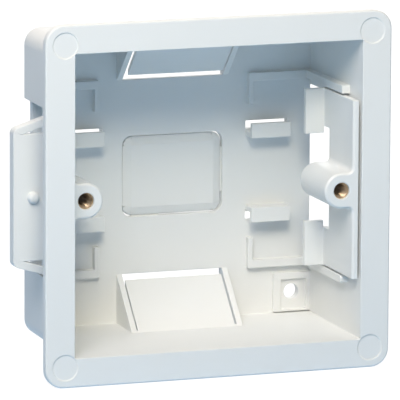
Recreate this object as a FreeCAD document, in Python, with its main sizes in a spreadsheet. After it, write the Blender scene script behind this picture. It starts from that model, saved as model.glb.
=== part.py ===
import FreeCAD, Part
import math
import os
import re

import Sketcher

# Drywall back box: a moulded box whose flange lies on the face of a plasterboard wall, with two
# sliding lugs. Each lug has a boss with a threaded brass insert inside the box, and a wing that
# reaches out through the side window and clamps the board against the back of the flange.
# Millimetres. +X right, +Y into the wall, +Z up. The origin is the middle of the opening, in the
# plane of the flange's front face.

SIZES = {
    # Flange and shell
    "flange_lap_side": (5.5, "flange beyond the shell at each side"),
    "flange_lap_end": (5.2, "flange beyond the shell at the top and the bottom"),
    "flange_thick": (2, "flange, front to back"),
    "flange_corner": (4.4, "corner radius of the flange"),
    "flange_edge": (0.5, "soft edge round the front of the flange"),
    "opening_width": (69.8, "opening at the front, across"),
    "opening_height": (70.4, "opening at the front, up"),
    "wall": (1.6, "side, top and bottom walls"),
    "shell_corner": (4.4, "outer corner radius of the shell"),
    "draft_angle": (0.8, "mould draft of the shell, inside and out, degrees"),
    "box_depth": (35, "flange front to the back of the box"),
    "back_wall": (2, "thickness of the back wall"),
    "back_edge": (0.8, "soft edge round the back of the shell"),
    # Ejector marks on the flange
    "ejector_radius": (3, "shallow round mark at each flange corner"),
    "ejector_inset": (4.75, "mark's centre from the flange's edges"),
    "ejector_depth": (0.25, "depth of the mark"),
    # Runners and rails that guide the lugs
    "runner_thick": (1.9, "runner and rail, top to bottom"),
    "runner_start": (8, "front end of a runner, behind the flange front"),
    "runner_nose": (0.8, "rounding of the lower runners' front ends"),
    "runner_gap": (0.45, "lug to runner, above and below"),
    "rail_proud": (1.5, "rail above the back wall"),
    "rail_reach": (18.5, "inner end of a rail, from the middle"),
    "rail_leg": (1.2, "width of the leg at the rail's inner end"),
    "rail_leg_end": (16, "end of that leg, above the middle"),
    # Hooks on the back wall that park the lugs
    "hook_near": (18.2, "inner end of a hook, from the middle"),
    "hook_far": (27.9, "outer end of a hook, from the middle"),
    "hook_root": (8.3, "hook's root, above the middle"),
    "hook_lip": (3.5, "height of the hook's lip"),
    "hook_thick": (1.2, "thickness of root and lip"),
    "hook_proud": (4.5, "lip's front above the back wall"),
    "hook_slot_gap": (0.05, "core slot in the back wall, past the lip's tip"),
    "hook_slot_start": (0.4, "core slot, from the inner face of the root"),
    "hook_slot_side": (0.7, "core slot, past the right end of the lip"),
    # Fixing pad on the back wall
    "pad_size": (9.4, "square fixing pad"),
    "pad_proud": (0.8, "pad above the back wall"),
    "pad_well_width": (6.4, "well in the pad, across"),
    "pad_well_height": (7.1, "well in the pad, up"),
    "pad_well_right": (0.4, "middle of the well, right of the hole"),
    "pad_well_below": (0.55, "middle of the well, below the hole"),
    "pad_well_depth": (0.7, "depth of the well"),
    "fixing_across": (29.9, "fixing hole, right of the middle"),
    "fixing_below": (29.75, "fixing hole, below the middle"),
    "fixing_radius": (1.8, "fixing hole"),
    # Knock-out in the back wall
    "panel_width": (24.9, "outside of the slot round the panel"),
    "panel_height": (19.4, "outside of the slot round the panel"),
    "panel_corner": (2.5, "corner radius of the slot"),
    "panel_lift": (0.1, "middle of the panel, above the middle of the box"),
    "panel_slot": (0.32, "width of the slot"),
    "panel_skin": (1.1, "skin that holds the panel where the slot is blind"),
    "right_skin_low": (2.3, "right skin's lower end, from the end of the slot's straight"),
    "right_skin_high": (1.5, "right skin's upper end, from the end of the slot's straight"),
    "lower_skin_length": (6.8, "skin below the panel, from the end of the slot's straight"),
    "bevel_width": (1.95, "bevel round the panel, from the slot inwards"),
    "bevel_depth": (0.9, "fall of the bevel towards the slot"),
    # Slanted knock-outs at the top and the bottom
    "wedge_width": (27.6, "slanted entry, across"),
    "wedge_side": (1.4, "its side walls"),
    "wedge_wall": (1.1, "its slanted wall"),
    "wedge_foot": (23.1, "where the slant meets the back wall, from the middle"),
    "wedge_rise": (11.8, "slant: rise"),
    "wedge_run": (11.4, "slant: run"),
    "slot_top_left": (0.9, "slot at the left of the top panel"),
    "slot_low_right": (0.5, "slot at the right of the lower panel"),
    "slot_narrow": (0.3, "slots at the other sides of the two panels"),
    "wedge_gap": (1.1, "gap at the back edge of the panel"),
    # Lugs
    "screw_centres": (60.3, "distance between the two inserts"),
    "lug_wall_gap": (0.2, "lug plate to the narrowest part of the side wall"),
    "plate_thick": (1.4, "plate that lies along the side wall"),
    "lug_height": (42, "plate, top to bottom"),
    "lug_length": (20.3, "plate with its tabs, front to back"),
    "plate_length": (15.6, "plate between the tabs, front to back"),
    "shoulder": (12, "start of the plate's long ends, above the middle"),
    "tab_start": (10.4, "start of a tab, above the middle"),
    "tab_reach": (4.65, "tab, inwards from the plate"),
    "tab_thick": (1.4, "tab, front to back"),
    "boss_radius": (4.15, "screw boss"),
    "boss_length": (16.4, "screw boss, front to back"),
    "boss_blend": (1.2, "radius between boss and plate"),
    "front_edge": (0.4, "chamfer round the front of the boss and along the inside of the plate"),
    "mouth_radius": (1.95, "hole in front of the insert"),
    # Wings
    "wing_setback": (8.3, "wing's front, behind the lug's front"),
    "wing_depth": (3, "wing, front to back"),
    "wing_skin": (1.2, "front skin of the wing"),
    "wing_reach": (8.45, "wing's tip, out from the shell"),
    "wing_tip_height": (32, "wing at its tip"),
    "wing_root_height": (38.5, "wing at the plate"),
    "wing_rib": (1.9, "ribs along the wing's sloping edges"),
    "wing_tip_rib": (1.3, "rib along the tip"),
    "wing_spine": (1.2, "rib along the middle"),
    "wing_corner": (1.6, "corner radius at the tip"),
    "skin_height": (29.6, "front skin between the gaps"),
    "nub_radius": (1.35, "nub that bites the board"),
    "nub_height": (1.3, "nub, forward of the skin"),
    "nub_crown": (0.9, "rounding of the nub's end"),
    "nub_inset": (4.7, "nub, in from the tip"),
    # Windows
    "window_gap": (0.5, "wing to window, above and below"),
    "window_lead": (3.2, "window's front edge to the foremost wing, clear of a board on its face"),
    # Inserts
    "insert_radius": (2.5, "outside of the brass insert"),
    "insert_length": (10, "insert, front to back"),
    "insert_setback": (1, "insert's front, behind the lug's front"),
    "thread_radius": (1.45, "bore of the insert"),
    "insert_lead": (0.3, "chamfer at both mouths of the bore"),
    "groove_depth": (0.3, "groove round the insert"),
    "groove_width": (1.2, "groove, front to back"),
    # Where each lug stands
    "right_lug_depth": (0.5, "right lug's front, behind the flange front"),
    "left_lug_clear": (6.3, "left lug's back end, in front of the back wall"),
}

# Lengths that follow from the sizes
CAVITY = "(box_depth - back_wall)"
DRAWN_IN = f"({CAVITY} * tan(draft_angle))"
SIDE_INNER = f"(opening_width / 2 - {DRAWN_IN})"
PLATE_OUTER = f"({SIDE_INNER} - lug_wall_gap)"
PLATE_INNER = f"({PLATE_OUTER} - plate_thick)"
SHELL_WIDTH = "(opening_width + 2 * wall)"
SHELL_HEIGHT = "(opening_height + 2 * wall)"
FLANGE_WIDTH = f"({SHELL_WIDTH} + 2 * flange_lap_side)"
FLANGE_HEIGHT = f"({SHELL_HEIGHT} + 2 * flange_lap_end)"
RUNNER_LOW = "(lug_height / 2 + runner_gap)"
RUNNER_HIGH = f"({RUNNER_LOW} + runner_thick)"
WEDGE_SLOPE = "(wedge_rise / wedge_run)"
WEDGE_SKEW = f"(wedge_wall * sqrt(1 + {WEDGE_SLOPE}^2))"
LEFT_LUG_DEPTH = f"({CAVITY} - left_lug_clear - lug_length)"

# How far a rib's root lies inside the wall that carries it, and a cut runs past its last face
WALL_ROOT = "(wall / 4)"
BACK_ROOT = f"({CAVITY} + back_wall / 4)"
PAST = "1"

LEAST_CHANGE = 1e-6
SAME_PLACE = 1e-4

os.makedirs("parts", exist_ok=True)
doc = FreeCAD.newDocument("drywall_box")
sheet = doc.addObject("Spreadsheet::Sheet", "Sizes")
for row, (alias, (size, note)) in enumerate(SIZES.items(), start=1):
    sheet.set(f"A{row}", alias)
    sheet.set(f"B{row}", str(size))
    sheet.set(f"C{row}", note)
    sheet.setAlias(f"B{row}", alias)
doc.recompute()


def linked(text):
    """An expression in size names, as one that reads the sheet."""
    def link(word):
        return "Sizes." + word.group() if word.group() in SIZES else word.group()
    return re.sub(r"[a-z][a-z_]+", link, text)


def value(text):
    return float(sheet.evalExpression(linked(text)))


def bind(thing, path, text):
    thing.setExpression(path, linked(text))


def origin_plane(body, role):
    return [item for item in body.Origin.OriginFeatures if item.Role == role][0]


# Sketches. A sketch on XZ looks along -Y, so its place along Y has the other sign.

def new_sketch(body, name, role, place="0"):
    sketch = body.newObject("Sketcher::SketchObject", name)
    sketch.AttachmentSupport = [(origin_plane(body, role), "")]
    sketch.MapMode = "FlatFace"
    sign = "-" if role == "XZ_Plane" else ""
    bind(sketch, "AttachmentOffset.Base.z", f"{sign}({place})")
    return sketch


def pin(sketch, geometry, end, across, up):
    """Ties a point of the sketch to two expressions, measured from the sketch's origin."""
    for kind, text in (("DistanceX", across), ("DistanceY", up)):
        number = sketch.addConstraint(Sketcher.Constraint(kind, -1, 1, geometry, end, value(text)))
        bind(sketch, f"Constraints[{number}]", text)


def draw_outline(sketch, points):
    """A closed outline of straight lines through the points, which are pairs of expressions."""
    places = [FreeCAD.Vector(value(across), value(up), 0) for across, up in points]
    first = sketch.GeometryCount
    count = len(points)
    for index in range(count):
        sketch.addGeometry(Part.LineSegment(places[index], places[(index + 1) % count]), False)
    for index in range(count):
        after = first + (index + 1) % count
        sketch.addConstraint(Sketcher.Constraint("Coincident", first + index, 2, after, 1))
    for index, (across, up) in enumerate(points):
        pin(sketch, first + index, 1, across, up)


def draw_box(sketch, left, right, low, high):
    draw_outline(sketch, [(left, low), (right, low), (right, high), (left, high)])


def draw_circle(sketch, across, up, radius):
    centre = FreeCAD.Vector(value(across), value(up), 0)
    number = sketch.addGeometry(Part.Circle(centre, FreeCAD.Vector(0, 0, 1), value(radius)), False)
    pin(sketch, number, 3, across, up)
    size = sketch.addConstraint(Sketcher.Constraint("Radius", number, value(radius)))
    bind(sketch, f"Constraints[{size}]", radius)


def draw_rounded(sketch, width, height, radius, up="0"):
    """A rounded rectangle centred across the sketch: four arcs joined by four lines."""
    half_across = f"({width}) / 2 - ({radius})"
    half_up = f"({height}) / 2 - ({radius})"
    corners = [(1, 1), (-1, 1), (-1, -1), (1, -1)]
    count = len(corners)
    first = sketch.GeometryCount
    ends = []
    for index, (side, level) in enumerate(corners):
        centre = FreeCAD.Vector(side * value(half_across), level * value(half_up) + value(up), 0)
        ring = Part.Circle(centre, FreeCAD.Vector(0, 0, 1), value(radius))
        arc = Part.ArcOfCircle(ring, math.radians(90 * index), math.radians(90 * (index + 1)))
        sketch.addGeometry(arc, False)
        ends.append((arc.StartPoint, arc.EndPoint))
    for index in range(count):
        sketch.addGeometry(Part.LineSegment(ends[index][1], ends[(index + 1) % count][0]), False)
    for index, (side, level) in enumerate(corners):
        pin(sketch, first + index, 3, f"{side} * ({half_across})", f"{level} * ({half_up}) + {up}")
        size = sketch.addConstraint(Sketcher.Constraint("Radius", first + index, value(radius)))
        bind(sketch, f"Constraints[{size}]", radius)
    for index in range(count):
        line = first + count + index
        after = first + (index + 1) % count
        sketch.addConstraint(Sketcher.Constraint("Tangent", first + index, 2, line, 1))
        sketch.addConstraint(Sketcher.Constraint("Tangent", line, 2, after, 1))


# Features. Each one is recomputed at once, and stops the script if it changes nothing.

def finish_feature(body, feature, grows):
    before = body.Tip.Shape.Volume if body.Tip and body.Tip is not feature else 0.0
    if feature is not body.Tip:
        body.Tip = feature
    doc.recompute()
    change = feature.Shape.Volume - before
    if abs(change) < LEAST_CHANGE or (change > 0) != grows:
        raise RuntimeError(f"{feature.Label} changes the volume by {change:.3f}")
    return feature


def extrude(body, kind, name, sketch, length, ahead, taper=None):
    """A pad or pocket of a sketch; ahead means towards +X, +Y or +Z."""
    tip = body.Tip
    feature = body.newObject(kind, name)
    body.Tip = tip
    feature.Profile = sketch
    normal_ahead = "XZ" not in sketch.AttachmentSupport[0][0].Role
    pads = kind == "PartDesign::Pad"
    feature.Reversed = (normal_ahead == ahead) != pads
    bind(feature, "Length", length)
    if taper:
        bind(feature, "TaperAngle", taper)
    sketch.Visibility = False
    return finish_feature(body, feature, pads)


def pad(body, name, sketch, length, ahead=True, taper=None):
    return extrude(body, "PartDesign::Pad", name, sketch, length, ahead, taper)


def pocket(body, name, sketch, length, ahead=True, taper=None):
    return extrude(body, "PartDesign::Pocket", name, sketch, length, ahead, taper)


def mirror(body, name, features, role="YZ_Plane", grows=True):
    tip = body.Tip
    feature = body.newObject("PartDesign::Mirrored", name)
    body.Tip = tip
    feature.Originals = features
    feature.MirrorPlane = (origin_plane(body, role), [""])
    return finish_feature(body, feature, grows)


def ease(body, kind, size_path, name, size, wanted, grows):
    """Eases the edges of the body's last shape that the test picks."""
    edges = [f"Edge{number}" for number, edge in enumerate(body.Tip.Shape.Edges, start=1) if wanted(edge)]
    if not edges:
        raise RuntimeError(f"{name} finds no edge")
    tip = body.Tip
    feature = body.newObject(kind, name)
    body.Tip = tip
    feature.Base = (tip, edges)
    bind(feature, size_path, size)
    return finish_feature(body, feature, grows)


def fillet(body, name, radius, wanted, grows=False):
    return ease(body, "PartDesign::Fillet", "Radius", name, radius, wanted, grows)


def chamfer(body, name, size, wanted):
    return ease(body, "PartDesign::Chamfer", "Size", name, size, wanted, False)


def near(first, second):
    return abs(first - second) < SAME_PLACE


def lies_at(edge, axis, place):
    """Whether the whole edge lies in one plane square to the axis (0 X, 1 Y, 2 Z)."""
    low = (edge.BoundBox.XMin, edge.BoundBox.YMin, edge.BoundBox.ZMin)[axis]
    high = (edge.BoundBox.XMax, edge.BoundBox.YMax, edge.BoundBox.ZMax)[axis]
    return near(low, place) and near(high, place)


# Box body

def add_shell(body):
    flange = new_sketch(body, "FlangeOutline", "XZ_Plane")
    draw_rounded(flange, FLANGE_WIDTH, FLANGE_HEIGHT, "flange_corner")
    pad(body, "Flange", flange, "flange_thick")
    shell = new_sketch(body, "ShellOutline", "XZ_Plane")
    draw_rounded(shell, SHELL_WIDTH, SHELL_HEIGHT, "shell_corner")
    pad(body, "Shell", shell, "box_depth", taper="-draft_angle")
    fillet(body, "BackEdge", "back_edge", lambda edge: lies_at(edge, 1, value("box_depth")))
    cavity = new_sketch(body, "CavityOutline", "XZ_Plane")
    draw_box(cavity, "-opening_width / 2", "opening_width / 2", "-opening_height / 2", "opening_height / 2")
    pocket(body, "Cavity", cavity, CAVITY, taper="-draft_angle")


def add_flange_details(body):
    def front_rim(edge):
        reach = max(abs(edge.CenterOfMass.x), abs(edge.CenterOfMass.z))
        return lies_at(edge, 1, 0) and reach > value("opening_height / 2 + wall")
    fillet(body, "FlangeEdge", "flange_edge", front_rim)
    marks = new_sketch(body, "EjectorMarks", "XZ_Plane")
    across, up = f"({FLANGE_WIDTH} / 2 - ejector_inset)", f"({FLANGE_HEIGHT} / 2 - ejector_inset)"
    for side in (-1, 1):
        for level in (-1, 1):
            draw_circle(marks, f"{side} * {across}", f"{level} * {up}", "ejector_radius")
    pocket(body, "EjectorPockets", marks, "ejector_depth")


def add_runners(body):
    """The runners on the side walls, and the rails on the back wall that carry them on inwards."""
    root = f"(opening_width / 2 + {WALL_ROOT})"
    runners = new_sketch(body, "RunnerEnds", "XZ_Plane", "runner_start")
    rails = new_sketch(body, "RailOutlines", "XZ_Plane", f"{CAVITY} - rail_proud")
    for level in (-1, 1):
        low, high = f"{level} * {RUNNER_LOW}", f"{level} * {RUNNER_HIGH}"
        leg_end, leg_side = f"{level} * rail_leg_end", "rail_reach + rail_leg"
        draw_box(runners, PLATE_INNER, root, low, high)
        draw_outline(rails, [("rail_reach", leg_end), (leg_side, leg_end), (leg_side, low),
                             (SIDE_INNER, low), (SIDE_INNER, high), ("rail_reach", high)])
    runner_pads = pad(body, "Runners", runners, f"{BACK_ROOT} - runner_start")
    rail_pads = pad(body, "Rails", rails, f"{BACK_ROOT} - {CAVITY} + rail_proud")
    mirror(body, "LeftRunners", [runner_pads, rail_pads])

    def lower_nose(edge):
        heights = (-value(RUNNER_LOW), -value(RUNNER_HIGH))
        return lies_at(edge, 1, value("runner_start")) and any(lies_at(edge, 2, height) for height in heights)
    fillet(body, "RunnerNoses", "runner_nose", lower_nose)


def add_hooks(body):
    """Four L-shaped hooks; the slot behind each lip is where the mould's core came through."""
    front = f"{CAVITY} - hook_proud"
    hooks = new_sketch(body, "HookProfiles", "YZ_Plane", "hook_near")
    slots = new_sketch(body, "HookSlots", "XZ_Plane", CAVITY)
    for level in (-1, 1):
        root, tip = f"{level} * hook_root", f"{level} * (hook_root + hook_lip)"
        inner = f"{level} * (hook_root + hook_thick)"
        draw_outline(hooks, [(BACK_ROOT, root), (front, root), (front, tip), (f"{front} + hook_thick", tip),
                             (f"{front} + hook_thick", inner), (BACK_ROOT, inner)])
        slot_low = f"{level} * (hook_root + hook_thick + hook_slot_start)"
        slot_high = f"{level} * (hook_root + hook_lip + hook_slot_gap)"
        for left, right in (("hook_near", "hook_far"), ("-hook_far", "-hook_near")):
            draw_box(slots, left, f"{right} + hook_slot_side", slot_low, slot_high)
    hook_pads = pad(body, "Hooks", hooks, "hook_far - hook_near")
    mirror(body, "LeftHooks", [hook_pads])
    pocket(body, "CoreSlots", slots, f"back_wall + {PAST}")


def add_fixing_pad(body):
    """A square pad with a well in it, and the fixing hole through the well."""
    outline = new_sketch(body, "PadOutline", "XZ_Plane", f"{CAVITY} - pad_proud")
    draw_box(outline, "fixing_across - pad_size / 2", "fixing_across + pad_size / 2",
             "-fixing_below - pad_size / 2", "-fixing_below + pad_size / 2")
    pad(body, "FixingPad", outline, f"{BACK_ROOT} - {CAVITY} + pad_proud")
    well = new_sketch(body, "PadWell", "XZ_Plane", f"{CAVITY} - pad_proud")
    across, up = "(fixing_across + pad_well_right)", "(-fixing_below - pad_well_below)"
    draw_box(well, f"{across} - pad_well_width / 2", f"{across} + pad_well_width / 2",
             f"{up} - pad_well_height / 2", f"{up} + pad_well_height / 2")
    pocket(body, "FixingWell", well, "pad_well_depth")
    hole = new_sketch(body, "FixingHole", "XZ_Plane", f"{CAVITY} - pad_proud")
    draw_circle(hole, "fixing_across", "-fixing_below", "fixing_radius")
    pocket(body, "FixingBore", hole, f"pad_proud + back_wall + {PAST}")


def add_back_knockout(body):
    """A panel with bevelled edges inside a slot; skin holds it at the left, the right and the lower left."""
    recess = new_sketch(body, "PanelRecess", "XZ_Plane", CAVITY)
    foot = new_sketch(body, "BevelFoot", "XZ_Plane", f"{CAVITY} + bevel_depth")
    for sketch in (recess, foot):
        draw_rounded(sketch, "panel_width - panel_slot", "panel_height - panel_slot",
                     "panel_corner - panel_slot / 2", "panel_lift")
    pocket(body, "PanelPocket", recess, "bevel_depth")
    crown = new_sketch(body, "BevelCrown", "XZ_Plane", CAVITY)
    inset = "(panel_slot + bevel_width)"
    draw_rounded(crown, f"panel_width - 2 * {inset}", f"panel_height - 2 * {inset}",
                 "panel_slot", "panel_lift")
    tip = body.Tip
    bevel = body.newObject("PartDesign::AdditiveLoft", "PanelBevel")
    body.Tip = tip
    bevel.Profile = foot
    bevel.Sections = [crown]
    bevel.Ruled = True
    finish_feature(body, bevel, True)

    ring = new_sketch(body, "PanelSlot", "XZ_Plane", CAVITY)
    draw_rounded(ring, "panel_width", "panel_height", "panel_corner", "panel_lift")
    draw_rounded(ring, "panel_width - 2 * panel_slot", "panel_height - 2 * panel_slot",
                 "panel_corner - panel_slot", "panel_lift")
    pocket(body, "PanelRing", ring, f"back_wall + {PAST}")
    skin = new_sketch(body, "PanelSkin", "XZ_Plane", "box_depth - panel_skin")
    half_width, half_height = "(panel_width / 2)", "(panel_height / 2)"
    straight = f"({half_height} - panel_corner)"
    edge = "2 * panel_slot"
    draw_box(skin, f"-{half_width} - panel_slot", f"-{half_width} + {edge}",
             f"panel_lift - {straight}", f"panel_lift + {straight}")
    draw_box(skin, f"{half_width} - {edge}", f"{half_width} + panel_slot",
             f"panel_lift - {straight} + right_skin_low", f"panel_lift + {straight} - right_skin_high")
    draw_box(skin, f"-{half_width} + panel_corner", f"-{half_width} + panel_corner + lower_skin_length",
             f"panel_lift - {half_height} - panel_slot", f"panel_lift - {half_height} + {edge}")
    pad(body, "PanelSkins", skin, "panel_skin")


def slant(depth):
    """Height of the slanted wall's inner face above the middle, at a depth behind the front."""
    return f"(wedge_foot - (({depth}) - {CAVITY}) * {WEDGE_SLOPE})"


def slant_depth(height):
    """Depth at which the slanted wall's inner face has this height above the middle."""
    return f"({CAVITY} - (({height}) - wedge_foot) / {WEDGE_SLOPE})"


def add_slanted_knockouts(body):
    """Slanted cable entries across the back edges, top and bottom, each with a panel to break out."""
    crown = "(opening_height / 2 + wall / 2)"
    behind = f"(box_depth + {PAST})"
    above = f"({SHELL_HEIGHT} / 2 + {PAST})"
    inside = f"({CAVITY} + back_wall / 2)"
    blocks = new_sketch(body, "WedgeBlocks", "YZ_Plane", "-wedge_width / 2")
    recesses = new_sketch(body, "WedgeRecesses", "YZ_Plane", "-wedge_width / 2 + wedge_side")
    gaps = new_sketch(body, "PanelGaps", "YZ_Plane", "-wedge_width / 2 + wedge_side")
    slot_start = f"({slant_depth('opening_height / 2 - wall / 2')})"
    slot_end = f"({CAVITY} - wedge_gap / 2)"
    for level in (-1, 1):
        draw_outline(blocks, [
            (inside, f"{level} * {slant(inside)}"),
            (slant_depth(crown), f"{level} * {crown}"),
            (inside, f"{level} * {crown}")])
        draw_outline(recesses, [
            (behind, f"{level} * ({slant(behind)} + {WEDGE_SKEW})"),
            (f"{slant_depth(above)} + {WEDGE_SKEW} / {WEDGE_SLOPE}", f"{level} * {above}"),
            (behind, f"{level} * {above}")])
        draw_box(gaps, f"{CAVITY} - wedge_gap", behind, f"{level} * wedge_foot", f"{level} * {above}")
    pad(body, "Wedges", blocks, "wedge_width")
    pocket(body, "WedgeHollows", recesses, "wedge_width - 2 * wedge_side")
    pocket(body, "BackGaps", gaps, "wedge_width - 2 * wedge_side")
    inner_side = "(wedge_width / 2 - wedge_side)"
    for name, level, width, left in (
            ("TopLeftSlot", 1, "slot_top_left", f"-{inner_side}"),
            ("TopRightSlot", 1, "slot_narrow", f"{inner_side} - slot_narrow"),
            ("LowLeftSlot", -1, "slot_narrow", f"-{inner_side}"),
            ("LowRightSlot", -1, "slot_low_right", f"{inner_side} - slot_low_right")):
        slot = new_sketch(body, f"{name}Outline", "YZ_Plane", left)
        draw_outline(slot, [
            (slot_start, f"{level} * ({slant(slot_start)} - {WEDGE_SKEW})"),
            (slot_end, f"{level} * ({slant(slot_end)} - {WEDGE_SKEW})"),
            (slot_end, f"{level} * ({slant(slot_end)} + 2 * {WEDGE_SKEW})"),
            (slot_start, f"{level} * ({slant(slot_start)} + 2 * {WEDGE_SKEW})")])
        pocket(body, name, slot, width)


def add_windows(body):
    """An opening in each side wall for the wing, cut right through to the back."""
    window = new_sketch(body, "WindowOutline", "YZ_Plane", SIDE_INNER)
    front = "right_lug_depth + wing_setback - window_lead"
    half = "(wing_root_height / 2 + window_gap)"
    draw_box(window, front, f"box_depth + {PAST}", f"-{half}", half)
    cut = pocket(body, "Window", window, f"{DRAWN_IN} + wall + {PAST}")
    mirror(body, "LeftWindow", [cut], grows=False)


def make_box_body():
    body = doc.addObject("PartDesign::Body", "BoxBody")
    body.Label = "box_body"
    add_shell(body)
    add_flange_details(body)
    add_runners(body)
    add_hooks(body)
    add_fixing_pad(body)
    add_back_knockout(body)
    add_slanted_knockouts(body)
    add_windows(body)
    return body


# Lugs. A lug is drawn with the screw's axis on its own Y axis, the front at 0 and the wall on its
# +X side. Both lugs are the same moulding: the left one is turned half round its own Y axis.

PLATE_NEAR = f"({PLATE_INNER} - screw_centres / 2)"
PLATE_FAR = f"({PLATE_OUTER} - screw_centres / 2)"
WING_TIP = f"({SHELL_WIDTH} / 2 + wing_reach - screw_centres / 2)"
WING_SLOPE = f"((wing_root_height - wing_tip_height) / 2 / ({WING_TIP} - {PLATE_FAR}))"


def wing_edge(across):
    """Half the wing's height at a distance from the screw's axis."""
    return f"(wing_tip_height / 2 + ({WING_TIP} - ({across})) * {WING_SLOPE})"


def add_plate(body):
    outline = new_sketch(body, "PlateOutline", "YZ_Plane", PLATE_NEAR)
    half = "lug_height / 2"
    draw_outline(outline, [
        ("0", f"-{half}"), ("lug_length", f"-{half}"), ("lug_length", "-shoulder"),
        ("plate_length", "-shoulder"), ("plate_length", "shoulder"), ("lug_length", "shoulder"),
        ("lug_length", half), ("0", half)])
    pad(body, "Plate", outline, "plate_thick")
    tabs = new_sketch(body, "TabOutlines", "XZ_Plane", "lug_length - tab_thick")
    for level in (-1, 1):
        draw_outline(tabs, [
            (f"{PLATE_NEAR} - tab_reach", f"{level} * tab_start"), (PLATE_NEAR, f"{level} * tab_start"),
            (PLATE_NEAR, f"{level} * shoulder"), (PLATE_FAR, f"{level} * shoulder"),
            (PLATE_FAR, f"{level} * {half}"), (f"{PLATE_NEAR} - tab_reach", f"{level} * {half}")])
    pad(body, "Tabs", tabs, "tab_thick")


def add_boss(body):
    """A D-shaped boss on the plate, with a blend where its flats meet the plate."""
    outline = new_sketch(body, "BossOutline", "XZ_Plane")
    radius = value("boss_radius")
    top, low = FreeCAD.Vector(0, radius, 0), FreeCAD.Vector(0, -radius, 0)
    far_top, far_low = (FreeCAD.Vector(value(PLATE_FAR), level * radius, 0) for level in (1, -1))
    outline.addGeometry(Part.Arc(top, FreeCAD.Vector(-radius, 0, 0), low), False)
    outline.addGeometry(Part.LineSegment(low, far_low), False)
    outline.addGeometry(Part.LineSegment(far_low, far_top), False)
    outline.addGeometry(Part.LineSegment(far_top, top), False)
    pin(outline, 0, 3, "0", "0")
    size = outline.addConstraint(Sketcher.Constraint("Radius", 0, radius))
    bind(outline, f"Constraints[{size}]", "boss_radius")
    for edge, after in ((0, 1), (1, 2), (2, 3), (3, 0)):
        outline.addConstraint(Sketcher.Constraint("Coincident", edge, 2, after, 1))
    for end in (1, 2):
        outline.addConstraint(Sketcher.Constraint("DistanceX", -1, 1, 0, end, 0))
    pin(outline, 2, 1, PLATE_FAR, "-boss_radius")
    pin(outline, 3, 1, PLATE_FAR, "boss_radius")
    pad(body, "Boss", outline, "boss_length")

    def boss_root(edge):
        middle = edge.CenterOfMass
        return (near(middle.x, value(PLATE_NEAR)) and near(abs(middle.z), value("boss_radius"))
                and near(edge.Length, value("plate_length")))
    fillet(body, "BossBlends", "boss_blend", boss_root, grows=True)
    chamfer(body, "FrontEdge", "front_edge",
            lambda edge: lies_at(edge, 1, 0) and near(edge.BoundBox.XMin, -value("boss_radius")))


def add_wing(body):
    """A shallow tray open at the back: a front skin, sloping edge ribs, a tip rib and a spine."""
    outline = new_sketch(body, "WingOutline", "XZ_Plane", "wing_setback")
    root, tip = f"({PLATE_FAR} - plate_thick / 2)", WING_TIP
    draw_outline(outline, [
        (root, f"-{wing_edge(root)}"), (tip, f"-{wing_edge(tip)}"),
        (tip, wing_edge(tip)), (root, wing_edge(root))])
    pad(body, "Wing", outline, "wing_depth")
    fillet(body, "WingCorners", "wing_corner",
           lambda edge: near(edge.CenterOfMass.x, value(tip)) and near(edge.Length, value("wing_depth")))
    hollows = new_sketch(body, "WingHollows", "XZ_Plane", "wing_setback + wing_skin")
    gaps = new_sketch(body, "WingGaps", "XZ_Plane", "wing_setback")
    end = f"({tip} - wing_tip_rib)"
    skin_edge = "(skin_height / 2)"
    gap_end = f"({tip} - ({skin_edge} + wing_rib - wing_tip_height / 2) / {WING_SLOPE})"
    for level in (-1, 1):
        draw_outline(hollows, [
            (PLATE_FAR, f"{level} * wing_spine / 2"), (end, f"{level} * wing_spine / 2"),
            (end, f"{level} * ({wing_edge(end)} - wing_rib)"),
            (PLATE_FAR, f"{level} * ({wing_edge(PLATE_FAR)} - wing_rib)")])
        draw_outline(gaps, [
            (PLATE_FAR, f"{level} * {skin_edge}"), (gap_end, f"{level} * {skin_edge}"),
            (PLATE_FAR, f"{level} * ({wing_edge(PLATE_FAR)} - wing_rib)")])
    pocket(body, "WingTrays", hollows, f"wing_depth - wing_skin + {PAST}")
    pocket(body, "WingSlits", gaps, f"wing_skin + {PAST}")
    nub = new_sketch(body, "NubOutline", "XZ_Plane", "wing_setback")
    draw_circle(nub, f"{tip} - nub_inset", "0", "nub_radius")
    pad(body, "Nub", nub, "nub_height", ahead=False)
    fillet(body, "NubCrown", "nub_crown",
           lambda edge: lies_at(edge, 1, value("wing_setback - nub_height")))


def add_insert_bore(body):
    bore = new_sketch(body, "InsertBore", "XZ_Plane", "insert_setback")
    draw_circle(bore, "0", "0", "insert_radius")
    pocket(body, "InsertSeat", bore, f"boss_length - insert_setback + {PAST}")
    mouth = new_sketch(body, "Mouth", "XZ_Plane")
    draw_circle(mouth, "0", "0", "mouth_radius")
    pocket(body, "MouthHole", mouth, f"insert_setback + {PAST}")


def place(body, side, depth):
    """Stands a piece on the screw axis of one side, at a depth behind the flange front."""
    if side < 0:
        body.Placement = FreeCAD.Placement(FreeCAD.Vector(), FreeCAD.Rotation(FreeCAD.Vector(0, 1, 0), 180))
    bind(body, "Placement.Base.x", f"{side} * screw_centres / 2")
    bind(body, "Placement.Base.y", depth)


def make_lug(label, side, depth):
    body = doc.addObject("PartDesign::Body", label.title().replace("_", ""))
    body.Label = label
    add_plate(body)
    add_boss(body)
    add_wing(body)
    add_insert_bore(body)
    place(body, side, depth)
    return body


# Inserts

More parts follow.
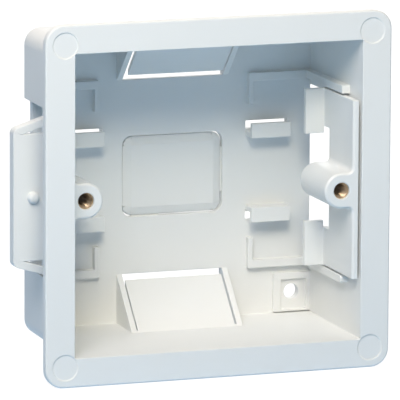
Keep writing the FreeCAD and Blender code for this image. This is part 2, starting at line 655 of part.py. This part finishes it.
def make_insert(label, side, depth):
    """A turned brass bush with a groove round its middle and a chamfer at both mouths."""
    body = doc.addObject("PartDesign::Body", label.title().replace("_", ""))
    body.Label = label
    outline = new_sketch(body, "HalfSection", "XY_Plane")
    groove = "(insert_radius - groove_depth)"
    near_side, far_side = ("((insert_length - groove_width) / 2)", "((insert_length + groove_width) / 2)")
    lead = "(thread_radius + insert_lead)"
    draw_outline(outline, [
        (lead, "0"), ("insert_radius", "0"), ("insert_radius", near_side), (groove, near_side),
        (groove, far_side), ("insert_radius", far_side), ("insert_radius", "insert_length"),
        (lead, "insert_length"), ("thread_radius", "insert_length - insert_lead"),
        ("thread_radius", "insert_lead")])
    turned = body.newObject("PartDesign::Revolution", "Turned")
    turned.Profile = outline
    turned.ReferenceAxis = (outline, ["V_Axis"])
    turned.Angle = 360
    finish_feature(body, turned, True)
    place(body, side, f"{depth} + insert_setback")
    return body


pieces = [
    make_box_body(),
    make_lug("right_lug", 1, "right_lug_depth"),
    make_lug("left_lug", -1, LEFT_LUG_DEPTH),
    make_insert("right_insert", 1, "right_lug_depth"),
    make_insert("left_insert", -1, LEFT_LUG_DEPTH),
]
doc.recompute()

for item in doc.Objects:
    if "Invalid" in item.State or "Error" in item.State:
        raise RuntimeError(f"{item.Label} failed")
for piece in pieces:
    if piece.Shape.isNull() or not piece.Shape.isValid():
        raise RuntimeError(f"{piece.Label} has no valid shape")
for piece in pieces:
    piece.Shape.exportStep(f"parts/{piece.Label}.step")
    print(piece.Label, len(piece.Shape.Solids), round(piece.Shape.Volume, 1), piece.Shape.BoundBox)
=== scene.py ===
import math

import bmesh
import bpy
from mathutils import Matrix, Vector


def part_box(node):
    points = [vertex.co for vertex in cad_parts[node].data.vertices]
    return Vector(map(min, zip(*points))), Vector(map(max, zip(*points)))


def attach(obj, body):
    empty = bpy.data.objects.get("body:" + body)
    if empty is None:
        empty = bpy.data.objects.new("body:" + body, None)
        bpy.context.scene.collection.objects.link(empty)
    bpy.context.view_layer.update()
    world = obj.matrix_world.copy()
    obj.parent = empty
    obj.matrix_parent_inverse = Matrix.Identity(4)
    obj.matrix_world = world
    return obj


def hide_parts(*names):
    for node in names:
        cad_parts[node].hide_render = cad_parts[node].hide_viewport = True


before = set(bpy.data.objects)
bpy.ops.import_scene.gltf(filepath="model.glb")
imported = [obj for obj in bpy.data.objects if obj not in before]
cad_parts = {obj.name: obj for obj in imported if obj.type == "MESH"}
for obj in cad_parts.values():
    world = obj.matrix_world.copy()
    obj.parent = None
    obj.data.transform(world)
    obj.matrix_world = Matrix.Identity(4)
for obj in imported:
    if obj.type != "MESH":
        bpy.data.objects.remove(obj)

bl_info = {
    "name": "Drywall Back Box",
    "version": (1, 0, 0),
    "blender": (4, 5, 0),
    "location": "View3D > Sidebar > Back Box",
    "description": "Finishes a moulded drywall back box, its sliding lugs and its brass inserts",
    "category": "Object",
}

MM = 0.001
PHOTO_PIXELS = 400
SENSOR_WIDTH = 36.0
WHITE = (1, 1, 1, 1)

# The frame's nodes, each with the body that it rides on
BOX_NODE = "box_body"
MOULDINGS = {BOX_NODE: "box", "left_lug": "left_slider", "right_lug": "right_slider"}
INSERTS = {"left_insert": "left_slider", "right_insert": "right_slider"}

# The floor lies at the flange's lower edge. The two screws are as far from the middle as each other
FLOOR_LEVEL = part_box(BOX_NODE)[0].z
SCREW_ACROSS = sum(corner.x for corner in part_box("right_insert")) / 2

# Closer than this, two corners of a node's loose triangles are one
WELD = 0.001 * MM

# Refractive index of rigid PVC
PVC_IOR = 1.53

# Width in metres of one band of Blender's wave pattern at scale 1
WAVE_BAND = math.tau / 20

# Each pattern's layers of finer detail and how strongly they show, or how far its bands wander
FLOW_NOISE = {"Detail": 3.0, "Roughness": 0.55}
GRAIN_NOISE = {"Detail": 2.0, "Roughness": 0.6}
TARNISH_NOISE = {"Detail": 4.0, "Roughness": 0.5}
ROLLER_NOISE = {"Detail": 2.0, "Roughness": 0.5}
TOOL_WAVE = {"Distortion": 0.4}


# Colour and node helpers

def srgb(code):
    """A hex colour as the linear RGB that the shaders and lamps work in."""
    def channel(text):
        level = int(text, 16) / 255
        return level / 12.92 if level <= 0.04045 else ((level + 0.055) / 1.055) ** 2.4
    return tuple(channel(code[start:start + 2]) for start in (1, 3, 5))


def opaque(tint):
    """A linear RGB colour as the RGBA that a node's socket takes."""
    return (*tint, 1)


def add_node(tree, kind, inputs=None, **settings):
    """Adds a node with its settings. An input is either a socket to link from or a plain value."""
    node = tree.nodes.new(kind)
    for name, value in settings.items():
        setattr(node, name, value)
    for socket, source in (inputs or {}).items():
        if isinstance(source, bpy.types.NodeSocket):
            tree.links.new(source, node.inputs[socket])
        else:
            node.inputs[socket].default_value = source
    return node


def new_material(name):
    """An empty material and its node tree."""
    material = bpy.data.materials.new(name)
    material.use_nodes = True
    material.node_tree.nodes.clear()
    return material, material.node_tree


def give(thing, material):
    """Makes this the thing's only material."""
    thing.data.materials.clear()
    thing.data.materials.append(material)


# Materials of the box. A noise pattern's features are as wide as one over its scale

def moulded_pvc(name, look):
    """Rigid white PVC, injection moulded: a chalky body colour under a satin skin."""
    material, tree = new_material(name)
    place = add_node(tree, "ShaderNodeTexCoord").outputs["Object"]

    # The melt's flow leaves the white a little uneven, over a few centimetres
    flow = add_node(tree, "ShaderNodeTexNoise",
                    {"Vector": place, "Scale": 1 / look.flow_width, **FLOW_NOISE})
    body = add_node(tree, "ShaderNodeMix",
                    {"Factor": flow.outputs["Fac"], "A": opaque(look.pvc_low), "B": opaque(look.pvc_high)},
                    data_type="RGBA")

    # Spark-eroded mould steel prints a fine grain. The real one is about 0.15 mm wide, too fine to
    # show, so it is drawn coarser
    grain = add_node(tree, "ShaderNodeTexNoise",
                     {"Vector": place, "Scale": 1 / look.grain_width, **GRAIN_NOISE})
    bump = add_node(tree, "ShaderNodeBump", {"Height": grain.outputs["Fac"],
                                             "Strength": look.grain_strength,
                                             "Distance": look.grain_depth})

    # The satin skin is a little glossier where the mould was worn smooth
    gloss = add_node(tree, "ShaderNodeMapRange", {"Value": flow.outputs["Fac"],
                                                  "To Min": look.worn_roughness,
                                                  "To Max": look.fresh_roughness})
    shader = add_node(tree, "ShaderNodeBsdfPrincipled",
                      {"Base Color": body.outputs["Result"], "Roughness": gloss.outputs["Result"],
                       "Normal": bump.outputs["Normal"], "IOR": PVC_IOR})
    add_node(tree, "ShaderNodeOutputMaterial", {"Surface": shader.outputs["BSDF"]})
    return material


def turned_brass(name, look):
    """Free-cutting brass, turned and tapped: a pale warm metal with fine tool marks round its axis."""
    material, tree = new_material(name)
    place = add_node(tree, "ShaderNodeTexCoord").outputs["Object"]
    tarnish = add_node(tree, "ShaderNodeTexNoise",
                       {"Vector": place, "Scale": 1 / look.tarnish_width, **TARNISH_NOISE})
    clean = add_node(tree, "ShaderNodeMix",
                     {"Factor": tarnish.outputs["Fac"], "A": opaque(look.brass_low),
                      "B": opaque(look.brass_high)}, data_type="RGBA")

    # The bore's brass is painted darker, as painted shade inside the hole. A bore is found by the
    # distance from the nearer screw's axis, and the painted shade thins out across the lead round its
    # mouth
    spot = add_node(tree, "ShaderNodeSeparateXYZ", {"Vector": place})
    side = add_node(tree, "ShaderNodeMath", {0: spot.outputs["X"]}, operation="ABSOLUTE")
    across = add_node(tree, "ShaderNodeMath", {0: side.outputs["Value"], 1: SCREW_ACROSS},
                      operation="SUBTRACT")
    level = add_node(tree, "ShaderNodeCombineXYZ",
                     {"X": across.outputs["Value"], "Z": spot.outputs["Z"]})
    radius = add_node(tree, "ShaderNodeVectorMath", {0: level.outputs["Vector"]}, operation="LENGTH")
    root = look.bore_radius + look.thread_depth
    bore_shade = add_node(tree, "ShaderNodeMapRange",
                   {"Value": radius.outputs["Value"], "From Min": root, "From Max": root + look.lead,
                    "To Min": 1.0, "To Max": 0.0})
    body = add_node(tree, "ShaderNodeMix",
                    {"Factor": bore_shade.outputs["Result"], "A": clean.outputs["Result"],
                     "B": opaque(look.brass_bore_shade)}, data_type="RGBA")

    # The tool's rings along the axis are really about 0.1 mm apart. That is too fine to show, so
    # they are drawn coarser
    marks = add_node(tree, "ShaderNodeTexWave",
                     {"Vector": place, "Scale": WAVE_BAND / look.mark_spacing, **TOOL_WAVE},
                     bands_direction="Y")
    bump = add_node(tree, "ShaderNodeBump", {"Height": marks.outputs["Fac"],
                                             "Strength": look.mark_strength,
                                             "Distance": look.mark_depth})
    shader = add_node(tree, "ShaderNodeBsdfPrincipled",
                      {"Base Color": body.outputs["Result"], "Normal": bump.outputs["Normal"],
                       "Metallic": 1.0, "Roughness": look.roughness})
    add_node(tree, "ShaderNodeOutputMaterial", {"Surface": shader.outputs["BSDF"]})
    return material


# Node tree of the knurl

def knurl_tree():
    """Two bands of straight ridges round a barrel whose axis is Y, joined to the barrel."""
    tree = bpy.data.node_groups.new("straight_knurl", "GeometryNodeTree")
    sizes = {"Geometry": "Geometry", "Middle": "Vector", "Ridges": "Int", "Radius": "Float",
             "Height": "Float", "Length": "Float", "Away": "Float", "Material": "Material"}
    for name, kind in sizes.items():
        tree.interface.new_socket(name=name, in_out="INPUT", socket_type=f"NodeSocket{kind}")
    tree.interface.new_socket(name="Geometry", in_out="OUTPUT", socket_type="NodeSocketGeometry")
    given = add_node(tree, "NodeGroupInput").outputs
    quarter_turn = math.tau / 4
    on_edge = math.tau / 8

    # A ridge is a square bar that stands on its edge, with its lower half inside the barrel
    side = add_node(tree, "ShaderNodeMath", {0: given["Height"], 1: math.sqrt(2)}, operation="MULTIPLY")
    size = add_node(tree, "ShaderNodeCombineXYZ", {"X": side.outputs[0], "Y": given["Length"],
                                                   "Z": side.outputs[0]})
    bar = add_node(tree, "GeometryNodeMeshCube", {"Size": size.outputs[0]})
    pair = add_node(tree, "GeometryNodeJoinGeometry")
    for sign in (-1, 1):
        away = add_node(tree, "ShaderNodeMath", {0: given["Away"], 1: sign}, operation="MULTIPLY")
        shift = add_node(tree, "ShaderNodeCombineXYZ", {"Y": away.outputs[0]})
        moved = add_node(tree, "GeometryNodeTransform", {"Geometry": bar.outputs["Mesh"],
                                                         "Translation": shift.outputs[0]})
        tree.links.new(moved.outputs["Geometry"], pair.inputs["Geometry"])

    # The ridges stand on a circle square to Y, each turned to face outwards
    circle = add_node(tree, "GeometryNodeMeshCircle", {"Vertices": given["Ridges"],
                                                       "Radius": given["Radius"]})
    upright = add_node(tree, "GeometryNodeTransform", {"Geometry": circle.outputs["Mesh"],
                                                       "Rotation": (quarter_turn, 0, 0)})
    number = add_node(tree, "GeometryNodeInputIndex")
    share_round = add_node(tree, "ShaderNodeMath", {0: number.outputs[0], 1: given["Ridges"]},
                           operation="DIVIDE")
    angle_round = add_node(tree, "ShaderNodeMath", {0: share_round.outputs[0], 1: -math.tau, 2: on_edge},
                           operation="MULTIPLY_ADD")
    turned = add_node(tree, "ShaderNodeCombineXYZ", {"Y": angle_round.outputs[0]})
    ridges = add_node(tree, "GeometryNodeInstanceOnPoints",
                      {"Points": upright.outputs["Geometry"], "Instance": pair.outputs["Geometry"],
                       "Rotation": turned.outputs[0]})
    placed = add_node(tree, "GeometryNodeTransform", {"Geometry": ridges.outputs["Instances"],
                                                      "Translation": given["Middle"]})
    both = add_node(tree, "GeometryNodeJoinGeometry", {"Geometry": placed.outputs["Geometry"]})
    tree.links.new(given["Geometry"], both.inputs["Geometry"])
    real = add_node(tree, "GeometryNodeRealizeInstances", {"Geometry": both.outputs["Geometry"]})
    finished = add_node(tree, "GeometryNodeSetMaterial", {"Geometry": real.outputs["Geometry"],
                                                          "Material": given["Material"]})
    add_node(tree, "NodeGroupOutput", {"Geometry": finished.outputs["Geometry"]})
    return tree


# Settings

def colour(name, code, description):
    return bpy.props.FloatVectorProperty(name=name, description=description, default=srgb(code),
                                         subtype="COLOR", size=3, min=0, max=1)


def length(name, millimetres, description):
    return bpy.props.FloatProperty(name=name, description=description, default=millimetres * MM,
                                   unit="LENGTH", min=0, precision=5)


def angle(name, degrees, description):
    return bpy.props.FloatProperty(name=name, description=description, default=math.radians(degrees),
                                   subtype="ANGLE")


def share(name, amount, description):
    return bpy.props.FloatProperty(name=name, description=description, default=amount,
                                   subtype="FACTOR", min=0, max=1)


def strength(name, amount, description):
    return bpy.props.FloatProperty(name=name, description=description, default=amount, min=0)


class BackBoxPlastic(bpy.types.PropertyGroup):
    pvc_high: colour("White", "#E9EAE8", "Body colour where the melt is whitest")
    pvc_low: colour("White, low", "#E3E5E4", "Body colour where the melt is least white")
    worn_roughness: share("Roughness, worn", 0.36, "Roughness of the skin where the mould is worn")
    fresh_roughness: share("Roughness, fresh", 0.5, "Roughness of the skin where the mould is fresh")
    flow_width: length("Flow marks", 24, "Width of the slow unevenness of the white")
    grain_width: length("Grain", 0.45, "Width of the mould's grain, as drawn")
    grain_depth: length("Grain depth", 0.012, "Height of the mould's grain")
    grain_strength: share("Grain strength", 0.35, "How much the grain shows in the light")
    edge_radius: length("Edges", 0.15, "How far an edge of a moulding is eased back")


class BackBoxBrass(bpy.types.PropertyGroup):
    brass_high: colour("Brass", "#EBDAB8", "Clean brass")
    brass_low: colour("Brass, low", "#D3BD97", "Brass where it has dulled")
    # The bore's colour is painted shade: darker brass inside the hole
    brass_bore_shade: colour("Bore", "#A5927C", "Brass inside the bore, where oil has dulled it")
    roughness: share("Roughness", 0.42, "Roughness of the turned metal")
    tarnish_width: length("Tarnish", 1.2, "Width of the patches where the brass has dulled")
    mark_spacing: length("Tool marks", 0.754, "Spacing of the turning marks, as drawn")
    mark_depth: length("Mark depth", 0.01, "Height of the turning marks")
    mark_strength: share("Mark strength", 0.2, "How much the turning marks show in the light")
    bore_radius: length("Bore radius", 1.45, "Radius of the bore at the crests of its thread")
    thread_pitch: length("Pitch", 0.6, "Distance from one turn of the thread to the next")
    thread_depth: length("Thread depth", 0.3, "Depth of the thread below its crests")
    lead: length("Lead", 0.3, "Chamfer at both mouths of the bore")
    groove_width: length("Groove", 1.2, "Width of the groove round the middle")
    groove_depth: length("Groove depth", 0.18, "Depth of that groove below the barrel")
    knurl_depth: length("Knurl", 0.12, "Height of the knurled ridges that bite the plastic")
    knurl_count: bpy.props.IntProperty(name="Ridges", description="Ridges round the barrel",
                                       default=28, min=3)


class BackBoxStage(bpy.types.PropertyGroup):
    key_colour: colour("Key light", "#FFF4D0", "Colour of the small softbox above and in front")
    key_strength: strength("Key strength", 1.02, "Irradiance of the key light at the opening")
    key_azimuth: angle("Key azimuth", -17, "Side that the key light comes from")
    key_elevation: angle("Key elevation", 40, "Height of the key light, seen from the opening")
    key_softness: angle("Key softness", 16, "Angle that the key light fills")
    side_colour: colour("Side light", "#FFFAFC", "Colour of the large softbox to its left")
    side_strength: strength("Side strength", 2.75, "Irradiance of the side light at the opening")
    side_azimuth: angle("Side azimuth", -30, "Side that the side light comes from")
    side_elevation: angle("Side elevation", 47, "Height of the side light, seen from the opening")
    side_softness: angle("Side softness", 40, "Angle that the side light fills")
    back_colour: colour("Back light", "#FBFAFA", "Colour of the softbox behind, which shows the back")
    back_strength: strength("Back strength", 2.3, "Irradiance of the back light at the opening")
    back_azimuth: angle("Back azimuth", 158, "Side that the back light comes from")
    back_elevation: angle("Back elevation", 30, "Height of the back light, seen from the opening")
    back_softness: angle("Back softness", 85, "Angle that the back light fills")
    lamp_distance: length("Lamp distance", 600, "From the opening to each softbox")
    floor_colour: colour("Floor", "#9CCAF2", "Paint of the studio floor")
    floor_size: length("Floor size", 6000, "Side of the square floor")


def settings(name):
    """The scene's group of settings of this name."""
    return getattr(bpy.context.scene, name)


# Operators

class BACKBOX_OT_stage(bpy.types.Operator):
    """Sets the camera, the floor, the softboxes and the white background"""
    bl_idname = "backbox.stage"
    bl_label = "Stage"

    # The photograph's camera, as a turn round the middle of the opening
    azimuth = math.radians(-19.6)
    elevation = math.radians(10.51)
    roll = math.radians(0.294)
    distance = 1339.6 * MM
    aim_right = -4.548 * MM
    aim_up = -0.28 * MM
    focal_pixels = 5841.7

    # What the camera draws, from the nearest to the farthest, as shares of its distance
    nearest = 0.1
    farthest = 20

    # What the camera sees of the floor: mostly its own white, and a little of the light on it
    floor_glow = 0.9
    shadow_share = 0.16

    # The skin of the floor's emulsion, with the marks that the roller left
    floor_roughness = 0.8
    roller_width = 2.5 * MM
    roller_depth = 0.1 * MM
    roller_strength = 0.1

    def execute(self, context):
        look = settings("backbox_stage")
        self.add_camera(context)
        self.add_floor(context, look)
        for name in ("key", "side", "back"):
            self.add_lamp(context, name, look)
        self.add_world(context)
        context.scene.view_settings.view_transform = "Standard"
        return {"FINISHED"}

    def direction(self, azimuth, elevation):
        """From the object towards a camera or lamp. Azimuth 0 is in front, 90 on the +X side."""
        return Vector((math.sin(azimuth) * math.cos(elevation),
                       -math.cos(azimuth) * math.cos(elevation), math.sin(elevation)))

    def add_camera(self, context):
        """The photograph's camera, whose picture is as wide as it is high."""
        back = self.direction(self.azimuth, self.elevation)
        level = Vector((math.cos(self.azimuth), math.sin(self.azimuth), 0))
        upright = back.cross(level)
        right = math.cos(self.roll) * level + math.sin(self.roll) * upright
        up = math.cos(self.roll) * upright - math.sin(self.roll) * level
        data = bpy.data.cameras.new("camera")
        data.lens = self.focal_pixels / PHOTO_PIXELS * SENSOR_WIDTH
        data.sensor_width = SENSOR_WIDTH
        data.clip_start = self.nearest * self.distance
        data.clip_end = self.farthest * self.distance
        camera = bpy.data.objects.new("camera", data)
        axes = Matrix((right, up, back)).transposed()
        spot = self.distance * back + self.aim_right * right + self.aim_up * up
        camera.matrix_world = Matrix.Translation(spot) @ axes.to_4x4()
        context.collection.objects.link(camera)
        context.scene.camera = camera

    def add_floor(self, context, look):
        """A flat pale floor under the flange."""
        mesh = bpy.data.meshes.new("floor")
        form = bmesh.new()
        bmesh.ops.create_grid(form, x_segments=1, y_segments=1, size=look.floor_size / 2,
                              matrix=Matrix.Translation((0, 0, FLOOR_LEVEL)))
        form.to_mesh(mesh)
        form.free()
        floor = bpy.data.objects.new("floor", mesh)
        context.collection.objects.link(floor)
        give(floor, self.painted_floor(look))

    def painted_floor(self, look):
        """Matt emulsion on board. The camera sees it as white, a little darker in the object's shadow."""
        material, tree = new_material("matt_emulsion_floor")
        place = add_node(tree, "ShaderNodeTexCoord").outputs["Object"]
        roller = add_node(tree, "ShaderNodeTexNoise",
                          {"Vector": place, "Scale": 1 / self.roller_width, **ROLLER_NOISE})
        bump = add_node(tree, "ShaderNodeBump", {"Height": roller.outputs["Fac"],
                                                 "Strength": self.roller_strength,
                                                 "Distance": self.roller_depth})
        seen = self.seen_white(tree)
        paint = add_node(tree, "ShaderNodeMix",
                         {"Factor": seen, "A": opaque(look.floor_colour),
                          "B": opaque([self.shadow_share] * 3)}, data_type="RGBA")
        glow = add_node(tree, "ShaderNodeMath", {0: seen, 1: self.floor_glow}, operation="MULTIPLY")
        shader = add_node(tree, "ShaderNodeBsdfPrincipled",
                          {"Base Color": paint.outputs["Result"], "Normal": bump.outputs["Normal"],
                           "Emission Color": WHITE, "Emission Strength": glow.outputs["Value"],
                           "Roughness": self.floor_roughness})
        add_node(tree, "ShaderNodeOutputMaterial", {"Surface": shader.outputs["BSDF"]})
        return material

    def seen_white(self, tree):
        """1 for rays from the camera, or that the camera sees by gloss or through glass."""
        path = add_node(tree, "ShaderNodeLightPath")
        gloss = add_node(tree, "ShaderNodeMath", {0: path.outputs["Is Camera Ray"],
                                                  1: path.outputs["Is Glossy Ray"]}, operation="MAXIMUM")
        return add_node(tree, "ShaderNodeMath", {0: gloss.outputs["Value"],
                                                 1: path.outputs["Is Transmission Ray"]},
                        operation="MAXIMUM").outputs["Value"]

    def add_lamp(self, context, name, look):
        """A round softbox that faces the opening, from the settings of its name."""
        def given(setting):
            return getattr(look, f"{name}_{setting}")
        lamp = bpy.data.lights.new(name, "AREA")
        lamp.shape = "DISK"
        lamp.size = 2 * look.lamp_distance * math.tan(given("softness") / 2)
        lamp.color = given("colour")

        # A softbox of this power gives the opening the irradiance that its strength states
        lamp.energy = given("strength") * math.pi * look.lamp_distance ** 2
        towards = self.direction(given("azimuth"), given("elevation"))
        holder = bpy.data.objects.new(name, lamp)
        holder.rotation_euler = towards.to_track_quat("Z", "Y").to_euler()
        holder.location = look.lamp_distance * towards
        context.collection.objects.link(holder)

    def add_world(self, context):
        """Plain white wherever the camera looks past the floor. Apart from gloss, it lights nothing."""
        world = bpy.data.worlds.new("studio")
        context.scene.world = world
        world.use_nodes = True
        tree = world.node_tree
        tree.nodes.clear()
        white = add_node(tree, "ShaderNodeBackground", {"Color": WHITE, "Strength": self.seen_white(tree)})
        add_node(tree, "ShaderNodeOutputWorld", {"Surface": white.outputs["Background"]})


class BACKBOX_OT_mouldings(bpy.types.Operator):
    """Makes the box and the two lugs as mouldings, with their edges eased"""
    bl_idname = "backbox.mouldings"
    bl_label = "Mouldings"

    # Triangles that meet flatter than this are one face, if their pair is no more askew than that
    flat = math.radians(0.5)
    askew = math.radians(60)

    # Edges sharper than this are eased, in so many steps
    sharp = math.radians(40)
    ease_steps = 2

    def execute(self, context):
        look = settings("backbox_plastic")
        plastic = moulded_pvc("moulded_white_pvc", look)
        for node, body in MOULDINGS.items():
            piece = self.eased_copy(context, node, look.edge_radius)
            give(piece, plastic)
            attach(piece, body)
            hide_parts(node)
        return {"FINISHED"}

    def eased_copy(self, context, node, radius):
        """A copy of a node with its triangles joined into flat faces and its sharp edges rounded."""
        form = bmesh.new()
        form.from_mesh(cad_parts[node].data)
        bmesh.ops.remove_doubles(form, verts=form.verts, dist=WELD)
        bmesh.ops.join_triangles(form, faces=form.faces, angle_face_threshold=self.flat,
                                 angle_shape_threshold=self.askew)
        mesh = bpy.data.meshes.new(f"{node}_moulding")
        form.to_mesh(mesh)
        form.free()
        piece = bpy.data.objects.new(mesh.name, mesh)
        context.collection.objects.link(piece)
        ease = piece.modifiers.new("ease", "BEVEL")
        ease.limit_method = "ANGLE"
        ease.angle_limit = self.sharp
        ease.width = radius
        ease.segments = self.ease_steps
        ease.use_clamp_overlap = False
        ease.loop_slide = False
        ease.miter_outer = "MITER_ARC"
        even = piece.modifiers.new("even", "WEIGHTED_NORMAL")
        even.keep_sharp = True
        return piece


class BACKBOX_OT_inserts(bpy.types.Operator):
    """Makes the brass inserts, with their thread, their groove and their knurled barrel"""
    bl_idname = "backbox.inserts"
    bl_label = "Brass inserts"

    # Corners round the barrel, and rows of corners to each turn of the thread
    steps_round = 48
    steps_per_turn = 10

    # Half the flat of a metric thread's crest and of its root, in turns
    crest = 1 / 8
    root = 1 / 16

    # Edges sharper than this stay crisp
    sharp = math.radians(35)

    def execute(self, context):
        look = settings("backbox_brass")
        brass = turned_brass("turned_brass", look)
        knurl = knurl_tree()
        for node, body in INSERTS.items():
            low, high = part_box(node)
            piece = bpy.data.objects.new(f"{node}_bush", self.barrel(node, low, high, look))
            context.collection.objects.link(piece)
            give(piece, brass)
            self.add_knurl(context, piece, knurl, low, high, look, brass)
            piece.data.set_sharp_from_angle(angle=self.sharp)
            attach(piece, body)
            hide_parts(node)
        return {"FINISHED"}

    def thread_share(self, turns):
        """Depth of the thread, from 0 at a crest to 1 at a root, so many turns from a crest's middle."""
        away = abs((turns + 0.5) % 1 - 0.5)
        return min(max((away - self.crest) / (0.5 - self.root - self.crest), 0), 1)

    def outside(self, low, high, look):
        """Radius and depth of each ring of corners outside, from the front mouth to the back one."""
        edge = look.knurl_depth
        barrel = (high.x - low.x) / 2 - look.knurl_depth
        waist = barrel - look.groove_depth
        mouth = look.bore_radius + look.lead
        middle = (low.y + high.y) / 2
        groove_low, groove_high = (middle + side * look.groove_width / 2 for side in (-1, 1))
        return [(mouth, low.y), (barrel - edge, low.y), (barrel, low.y + edge), (barrel, groove_low),
                (waist, groove_low), (waist, groove_high), (barrel, groove_high),
                (barrel, high.y - edge), (barrel - edge, high.y), (mouth, high.y)]

    def bore(self, turn, low, high, look):
        """Radius and depth of each corner along the bore at this turn, from the back to the front."""
        mouth = look.bore_radius + look.lead
        rows = round((high.y - low.y) / look.thread_pitch * self.steps_per_turn)
        spots = []
        for row in range(1, rows):
            depth = high.y + (low.y - high.y) * row / rows
            deep = look.thread_depth * self.thread_share((depth - low.y) / look.thread_pitch - turn)
            cone = mouth - min(depth - low.y, high.y - depth)
            spots.append((max(look.bore_radius + deep, cone), depth))
        return spots

    def barrel(self, name, low, high, look):
        """The turned bush without its knurl, closed all round through its bore."""
        middle = (low + high) / 2
        outside = self.outside(low, high, look)
        form = bmesh.new()
        columns = []
        for step in range(self.steps_round):
            turn = step / self.steps_round
            across, up = math.sin(math.tau * turn), math.cos(math.tau * turn)
            columns.append([form.verts.new((middle.x + radius * across, depth, middle.z + radius * up))
                            for radius, depth in outside + self.bore(turn, low, high, look)])
        for step, column in enumerate(columns):
            following = columns[(step + 1) % self.steps_round]
            for row, corner in enumerate(column):
                after = (row + 1) % len(column)
                form.faces.new((corner, column[after], following[after], following[row])).smooth = True
        bmesh.ops.recalc_face_normals(form, faces=form.faces)
        mesh = bpy.data.meshes.new(f"{name}_bush")
        form.to_mesh(mesh)
        form.free()
        return mesh

    def add_knurl(self, context, piece, tree, low, high, look, brass):
        """Adds the ridges to the barrel, as a plain mesh."""
        band = ((high.y - low.y) - look.groove_width) / 2 - 2 * look.knurl_depth
        modifier = piece.modifiers.new("knurl", "NODES")
        modifier.node_group = tree
        amounts = {"Middle": (low + high) / 2, "Ridges": look.knurl_count,
                   "Radius": (high.x - low.x) / 2 - look.knurl_depth, "Height": look.knurl_depth,
                   "Length": band, "Away": (look.groove_width + band) / 2 + look.knurl_depth / 2,
                   "Material": brass}
        for socket in tree.interface.items_tree:
            if socket.name in amounts:
                modifier[socket.identifier] = amounts[socket.name]
        plain = bpy.data.meshes.new_from_object(piece.evaluated_get(context.evaluated_depsgraph_get()))
        piece.modifiers.clear()
        piece.data = plain


OPERATORS = (BACKBOX_OT_stage, BACKBOX_OT_mouldings, BACKBOX_OT_inserts)
GROUPS = {"backbox_plastic": BackBoxPlastic, "backbox_brass": BackBoxBrass,
          "backbox_stage": BackBoxStage}


class BACKBOX_PT_panel(bpy.types.Panel):
    """Lists the operators and the settings of the back box"""
    bl_idname = "BACKBOX_PT_panel"
    bl_label = "Back Box"
    bl_space_type = "VIEW_3D"
    bl_region_type = "UI"
    bl_category = "Back Box"

    def draw(self, context):
        for operator in OPERATORS:
            self.layout.operator(operator.bl_idname)
        for name, group in GROUPS.items():
            box = self.layout.box()
            for setting in group.__annotations__:
                box.prop(settings(name), setting)


def register():
    for group in (*GROUPS.values(), *OPERATORS, BACKBOX_PT_panel):
        bpy.utils.register_class(group)
    for name, group in GROUPS.items():
        setattr(bpy.types.Scene, name, bpy.props.PointerProperty(type=group))


def unregister():
    for name in GROUPS:
        delattr(bpy.types.Scene, name)
    for group in reversed((*GROUPS.values(), *OPERATORS, BACKBOX_PT_panel)):
        bpy.utils.unregister_class(group)


def main():
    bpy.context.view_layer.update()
    register()
    bpy.ops.backbox.stage()
    bpy.ops.backbox.mouldings()
    bpy.ops.backbox.inserts()


if __name__ == "__main__":
    main()
